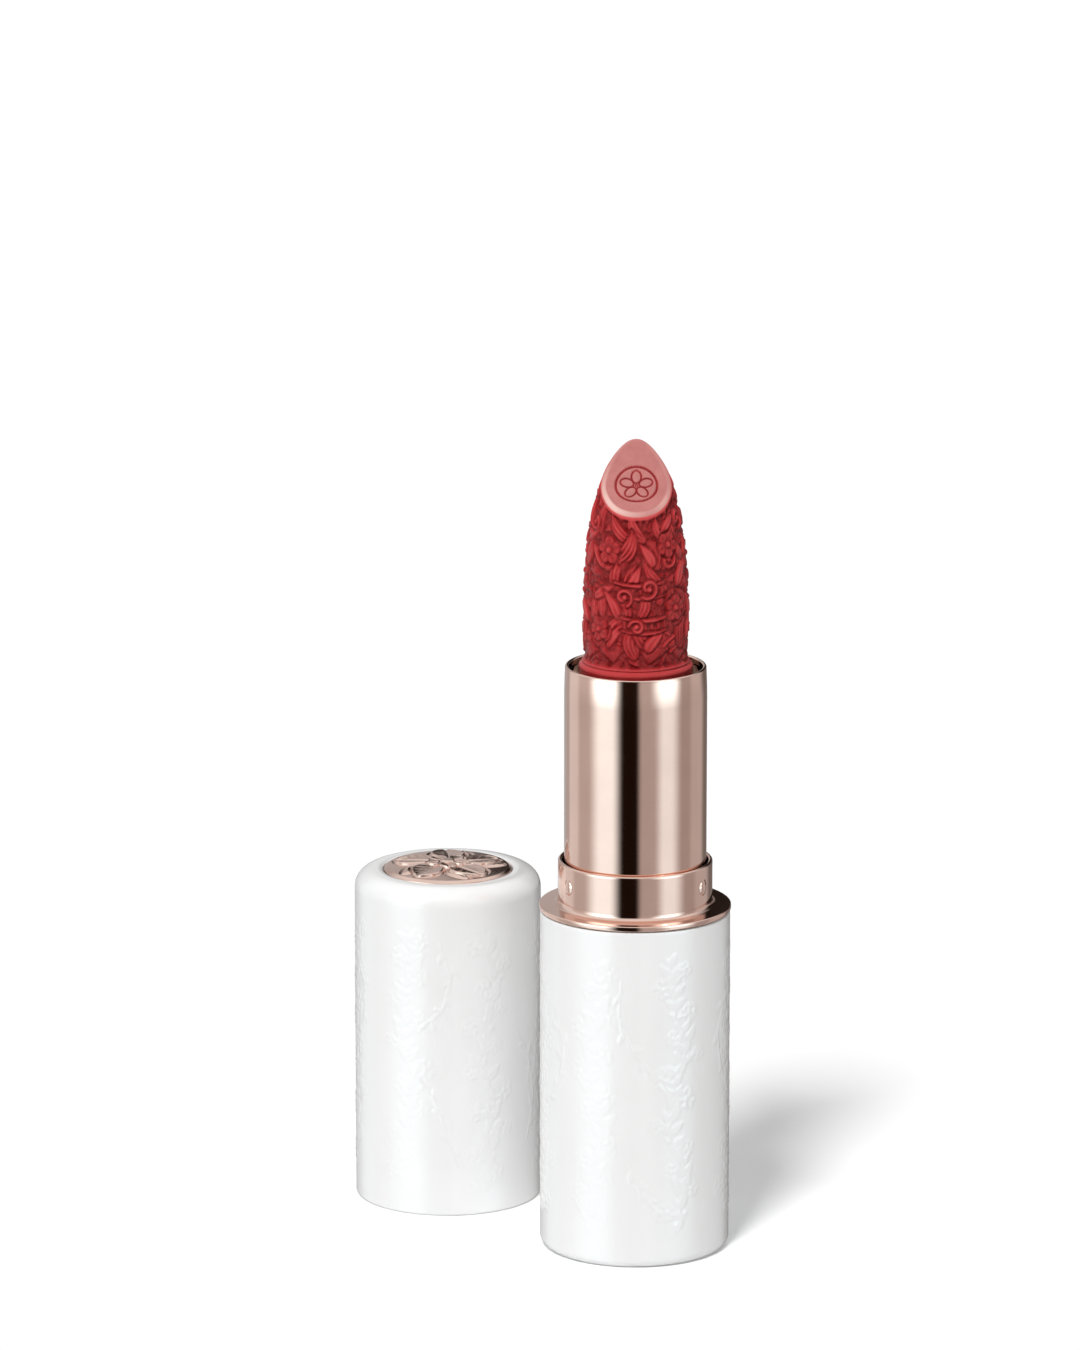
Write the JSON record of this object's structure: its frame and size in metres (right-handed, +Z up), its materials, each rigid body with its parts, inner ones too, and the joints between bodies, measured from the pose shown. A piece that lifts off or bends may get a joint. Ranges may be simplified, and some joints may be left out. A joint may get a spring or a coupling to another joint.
{
  "type": "lipstick case",
  "caption": "Twist-up lipstick standing open with its bullet raised; glossy white embossed base and separate cap, rose-gold collar, tube and medallion.",
  "frame": {"origin": "centre of the base's underside, on the surface that the case stands on", "axes": "+Z up along the case's axis; -Y is the front, which the bullet's slanted face looks towards; the cap stands towards -X and +Y"},
  "size_m": [0.0437, 0.0423, 0.0945],
  "materials": {
    "white_lacquer": "glossy white lacquer over a fine embossed relief",
    "rose_gold": "polished rose-gold anodised",
    "medallion_rose_gold": "polished rose-gold plated relief",
    "lipstick": "satin deep red wax, carved, with a paler slanted face",
    "inner_plastic": "satin moulded",
    "cap_inner_plastic": "satin moulded",
    "label_paper": "blank matt label",
    "steel": "turned",
    "silicone": "matt"
  },
  "bodies": {
    "base": {"base_shell": "white_lacquer", "base_liner": "inner_plastic", "base_weight": "steel", "shade_label": "label_paper", "collar": "rose_gold", "guide_tube": "inner_plastic", "damping_ring": "silicone"},
    "twist_tube": {"tube_shell": "rose_gold", "cam_sleeve": "inner_plastic"},
    "bullet_carrier": {"carrier_cup": "inner_plastic", "lipstick_bullet": "lipstick"},
    "cap": {"cap_shell": "white_lacquer", "cap_liner": "cap_inner_plastic", "cap_medallion": "medallion_rose_gold", "medallion_pad": "silicone"}
  },
  "joints": [
    {"name": "tube_twist", "type": "hinge", "parent": "base", "child": "twist_tube", "pos_m": [0, 0, 0], "axis": [0, 0, 1], "range_deg": [-360, 0]},
    {"name": "bullet_rise", "type": "slide", "parent": "base", "child": "bullet_carrier", "axis": [0, 0, 1], "range_m": [-0.027, 0]},
    {"name": "cap_lift", "type": "slide", "parent": "base", "child": "cap", "axis": [0, 0, 1], "range_m": [0, 0.1]}
  ],
  "couplings": [
    {"joint": "bullet_rise", "follows": "tube_twist", "m_per_rad": 0.0042972}
  ]
}
